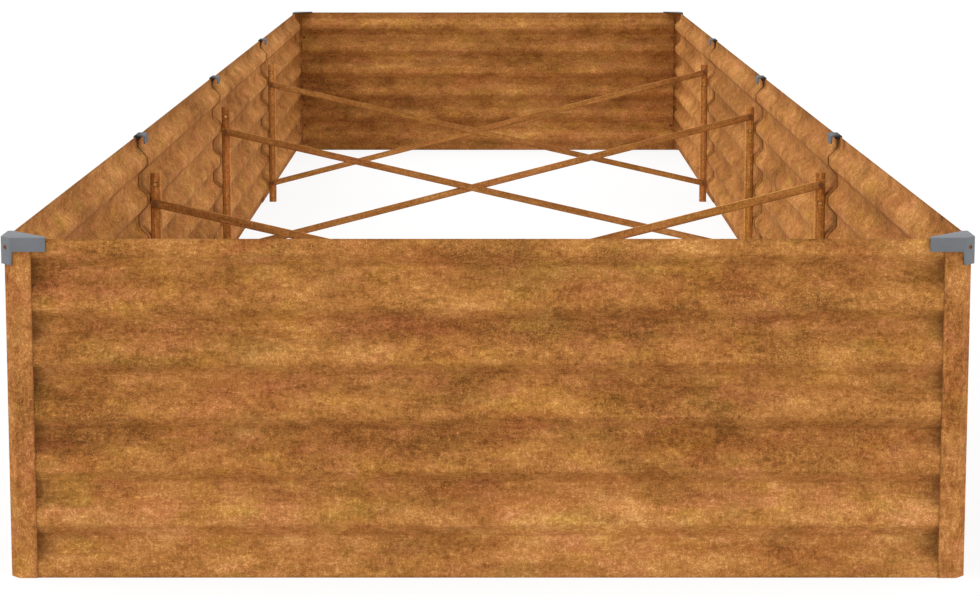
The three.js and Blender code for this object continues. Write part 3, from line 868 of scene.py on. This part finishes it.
# %% Caps
cap_low, cap_high = extent("corner_cap_back_right")
cap_outside = cap_high[0] - half_width
cap_leg = cap_high[0] - cap_low[0]
cap_top_height = cap_high[2]
cap_drop = cap_high[2] - cap_low[2]
cap_gap = 0.0003
cap_wall = cap_outside - cap_gap
cap_plate = cap_top_height - rim_height - cap_gap
cap_tip = 0.006
cap_skirt = 0.0147
cap_drop_margin = 0.002
cap_corner_round = 0.004
cap_edge_round = 0.0008


def cap_rings():
    """Rings of a cap in its corner frame, one for each place u along its outside.

    P(u) runs along the outer face and N(u) points outwards. H(u) runs along the long straight edge at
    the same share of its length. The skirt lies between P and P - wall * N and the plate between
    P - wall * N and H. The skirt's depth steps smoothly from shallow to deep beside the chamfer.
    """
    chamfer = -post_chamfer + cap_outside * (math.sqrt(2) - 1)
    tip = cap_outside - cap_leg
    line, normals, length = rounded_line([(tip, cap_outside), (chamfer, cap_outside),
                                          (cap_outside, chamfer), (cap_outside, tip)], cap_corner_round)
    step_at = chamfer - cap_drop_margin - tip
    step_width = 0.0016
    step = step_at + step_width * np.linspace(-0.5, 0.5, 7)
    places = np.unique(np.concatenate([length, np.linspace(0, step_at, 5), step,
                                       length[-1] - step, length[-1] - np.linspace(0, step_at, 5)]))
    places = places[np.concatenate([[True], np.diff(places) > 1e-6])]
    point = np.stack([np.interp(places, length, line[:, k]) for k in (0, 1)], axis=-1)
    normal = np.stack([np.interp(places, length, normals[:, k]) for k in (0, 1)], axis=-1)
    normal /= np.linalg.norm(normal, axis=1)[:, None]
    share = places / length[-1]
    ends = np.array([(tip, cap_outside - cap_tip), (cap_outside - cap_tip, tip)])
    edge = ends[0] + share[:, None] * (ends[1] - ends[0])
    rise = np.clip((np.minimum(places, length[-1] - places) - step_at) / step_width + 0.5, 0, 1)
    foot = cap_top_height - cap_skirt - (cap_drop - cap_skirt) * rise ** 2 * (3 - 2 * rise)
    inner = point - normal * cap_wall
    toward = edge - inner
    toward /= np.linalg.norm(toward, axis=1)[:, None]
    arc = np.linspace(0, math.pi / 2, 5)
    r = cap_edge_round
    outer_top = point[:, None] - normal[:, None] * (r * (1 - np.cos(arc)))[None, :, None]
    edge_round = r * 0.6
    edge_top = edge[:, None] - toward[:, None] * (edge_round * (1 - np.sin(arc)))[None, :, None]
    plane = np.concatenate([point[:, None], outer_top, edge_top, edge[:, None],
                            inner[:, None], inner[:, None]], axis=1)
    flat = np.ones((len(places), 1))
    height = np.concatenate([foot[:, None],
                             flat * (cap_top_height - r * (1 - np.sin(arc))),
                             flat * (cap_top_height - edge_round * (1 - np.cos(arc))),
                             flat * (cap_top_height - cap_plate),
                             flat * (cap_top_height - cap_plate), foot[:, None]], axis=1)
    return plane[..., 0], plane[..., 1], height


cap_x, cap_y, cap_z = cap_rings()
# The caps' long straight edges are painted dark, as painted shade along them.
edge_margin = 0.002
shaded_straight_edge = (cap_x + cap_y < cap_x[:, 1:2] + cap_y[:, 1:2] - edge_margin) & (cap_z < cap_top_height)
for corner, signs in corner_signs.items():
    make_piece(f"cap_{corner}", shell(in_corner(cap_x, cap_y, cap_z, signs)), cap_plastic,
               [f"corner_cap_{corner}"], {"wear_and_shade": shaded_straight_edge * 1.0})
print(f"caps of {cap_x.shape[0]} rings with {cap_leg:.4f} m legs")


# %% [markdown]
# ## Rim clips
#
# A saddle clip grips the rim where two sheets lap. Its section is a comb of three legs, carried along
# the rim. The section's two top corners are rounded by a quarter circle, as a moulding's edges are, and
# the legs' feet are cut back at the ends.

# %% Clips
clip_wall = 0.0018
clip_rib = 0.0075
clip_corner_cut = 0.004
clip_edge_round = 0.003
shade_reach = 0.003


def clip_ring(low, high):
    """Comb section of a clip on the right wall, as (x, z), from its CAD box."""
    outside, inside, top, foot = high[0], low[0], high[2], low[2]
    ceiling = rim_height + cap_gap
    rib_outer = side_face - lap_offset - sheet_thickness - cap_gap
    rib_inner = rib_outer - clip_wall
    outer_leg = outside - clip_wall
    inner_leg = inside + clip_wall
    arc = np.linspace(0, math.pi / 2, 5)
    r = clip_edge_round
    over = np.column_stack([outside - r + r * np.cos(arc), top - r + r * np.sin(arc)])
    under = np.column_stack([inside + r - r * np.sin(arc), top - r + r * np.cos(arc)])
    legs = [(inside, foot), (inner_leg, foot), (inner_leg, ceiling), (rib_inner, ceiling),
            (rib_inner, top - clip_rib), (rib_outer, top - clip_rib), (rib_outer, ceiling),
            (outer_leg, ceiling), (outer_leg, foot), (outside, foot)]
    return np.concatenate([over, under, legs])


for wall, sign in sides.items():
    for seam in seams:
        low, high = extent(f"rim_clip_{wall}_{seam}")
        if sign < 0:
            low[0], high[0] = -high[0], -low[0]
        ring = clip_ring(low, high)
        cut = clip_corner_cut
        along = np.array([low[1], low[1] + cut, high[1] - cut, high[1]])[:, None]
        lifted = np.array([cut, 0, 0, cut])[:, None]
        z = np.maximum(ring[None, :, 1], low[2] + lifted)
        rings = np.stack([sign * (ring[None, :, 0] + 0 * along), along + 0 * z, z], axis=-1)
        # The clip's outer part is painted dark, as painted shade over its hollow outer end.
        outward = np.clip((ring[:, 0] - (low[0] + high[0]) / 2 + shade_reach / 2) / shade_reach, 0, 1)
        shade_paint = np.broadcast_to(outward, rings.shape[:2])
        make_piece(f"clip_{wall}_{seam}", shell(rings), clip_plastic,
                   [f"rim_clip_{wall}_{seam}"], {"wear_and_shade": shade_paint})
print(2 * len(seams), "clips,", face_total, "faces so far")


# %% [markdown]
# ## Bolts
#
# A hexagon bolt is a solid of rings, as from a lathe, except that head and nut have six flats. A ring's
# radius at an angle is the smaller of a hexagon's and a circle's. A small circle gives the shank, a
# large one the plain hexagon, and a circle that closes in towards the end gives the turned chamfer that
# real heads and nuts have.

# %% Bolts
bolt_radius = 0.0025
head_height = 0.003
nut_height = 0.004
bolt_tail = 0.0012
bolt_chamfer = 0.0004
no_limit = 1.0
bolt_angles = np.linspace(0, 2 * math.pi, 36, endpoint=False)


def lathe(profile, angles=bolt_angles):
    """Rings (x, y, height) of (height, across corners, circle) rows; radius = min(hexagon, circle)."""
    height, hexagon, circle = np.array(profile).T
    flat = math.cos(math.pi / 6) / np.cos((angles % (math.pi / 3)) - math.pi / 6)
    radius = np.minimum(hexagon[:, None] * flat[None], circle[:, None])
    return radius * np.cos(angles), radius * np.sin(angles), height[:, None] + 0 * radius


def bolt_profile(length, head):
    """Rows of a bolt from its head's top at height 0 to its tail at the given length."""
    tight = head * 0.9
    full = head * 1.001
    nut_foot = length - bolt_tail - nut_height
    return [
        (0, head, tight), (bolt_chamfer, head, full), (head_height, head, no_limit),
        (head_height, no_limit, bolt_radius), (nut_foot, no_limit, bolt_radius), (nut_foot, head, tight),
        (nut_foot + bolt_chamfer, head, full), (nut_foot + nut_height - bolt_chamfer, head, full),
        (nut_foot + nut_height, head, tight), (nut_foot + nut_height, no_limit, bolt_radius),
        (length - bolt_chamfer, no_limit, bolt_radius), (length, no_limit, bolt_radius - bolt_chamfer),
    ]


for wall, sign in sides.items():
    for level in ("low", "high"):
        for seam in seams:
            name = f"bar_bolt_{wall}_{level}_{seam}"
            low, high = extent(name)
            centre = (low + high) / 2
            head = max(high[0] - low[0], high[2] - low[2]) / 2
            a, b, c = lathe(bolt_profile(high[1] - low[1], head))
            rings = np.stack([centre[0] + a, low[1] + c, centre[2] + b], axis=-1)
            make_piece(f"bar_screw_{wall}_{level}_{seam}", shell(rings), bolt_coat, [name])
            name = f"wall_bolt_{wall}_{level}_{seam}"
            low, high = extent(name)
            centre = (low + high) / 2
            head = max(high[1] - low[1], high[2] - low[2]) / 2
            a, b, c = lathe(bolt_profile(high[0] - low[0], head))
            head_end = high[0] if sign > 0 else low[0]
            rings = np.stack([head_end - sign * c, centre[1] + a, centre[2] + b], axis=-1)
            make_piece(f"wall_screw_{wall}_{level}_{seam}", shell(rings), bolt_coat, [name])
print(8 * len(seams), "bolts,", face_total, "faces so far")


# %% [markdown]
# ## Corner and cap screws
#
# Small button-head screws tie the sheets' ends to the post flanges from inside, three to a flange, and
# one sits in each cap's chamfer. They are the same lathe surface: a low dome round a hexagon socket.

# %% Screws
screw_radius = 0.0032
socket_radius = 0.0013
dome_height = 0.0016


def button_profile(radius, length):
    """Rows from the socket's floor, out over the dome, and down the shank."""
    rows = [(dome_height * 0.45, socket_radius, no_limit), (dome_height * 0.97, socket_radius, no_limit)]
    rows += [(dome_height * math.cos(t), no_limit, radius * math.sin(t))
             for t in np.linspace(0.25, math.pi / 2, 5) if radius * math.sin(t) > socket_radius * 1.05]
    rows += [(0, no_limit, radius * 0.5), (-length, no_limit, radius * 0.5)]
    return rows


cap_screw_radius = 0.0026
cap_screw_length = 0.002
cap_screw_seat = 0.0004
cap_screw_depth = 0.0105
cap_screw_low = cap_top_height - cap_screw_depth
diagonal = 1 / math.sqrt(2)
chamfer_middle = -(post_chamfer / 2) + cap_outside * diagonal
for corner, signs in corner_signs.items():
    a, b, c = lathe(button_profile(cap_screw_radius, cap_screw_length))
    x = chamfer_middle + (c - cap_screw_seat) * diagonal - a * diagonal
    y = chamfer_middle + (c - cap_screw_seat) * diagonal + a * diagonal
    rings = in_corner(x, y, cap_screw_low + b, signs)
    make_piece(f"cap_screw_{corner}", shell(rings), bolt_coat)

flange_screw_inset = 0.0235
flange_screw_crests = (1, 3, 5)
screw_seat = half_width - side_face + sheet_thickness
thread_short = 0.0004
for corner, signs in corner_signs.items():
    for crest in flange_screw_crests:
        height = lip_height + crest * wave_pitch
        a, b, c = lathe(button_profile(screw_radius, screw_seat - thread_short))
        for face in ("end", "side"):
            if face == "end":
                rings = in_corner(-flange_screw_inset + a, -screw_seat - c, height + b, signs)
            else:
                rings = in_corner(-screw_seat - c, -flange_screw_inset + a, height + b, signs)
            make_piece(f"flange_screw_{corner}_{face}_{crest}", shell(rings), bolt_coat)
print(face_total, "faces in the dressed pieces")


# %% [markdown]
# ## Sizes, and the end
#
# Dressing a model must not make it bigger.

# %% Measure the dressed box
new_low, new_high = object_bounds()
change = np.abs(np.array([new_low, new_high]) - np.array([cad_low, cad_high])).max()
print(f"the dressed box differs from the packed one by {change:.7f} m at most")
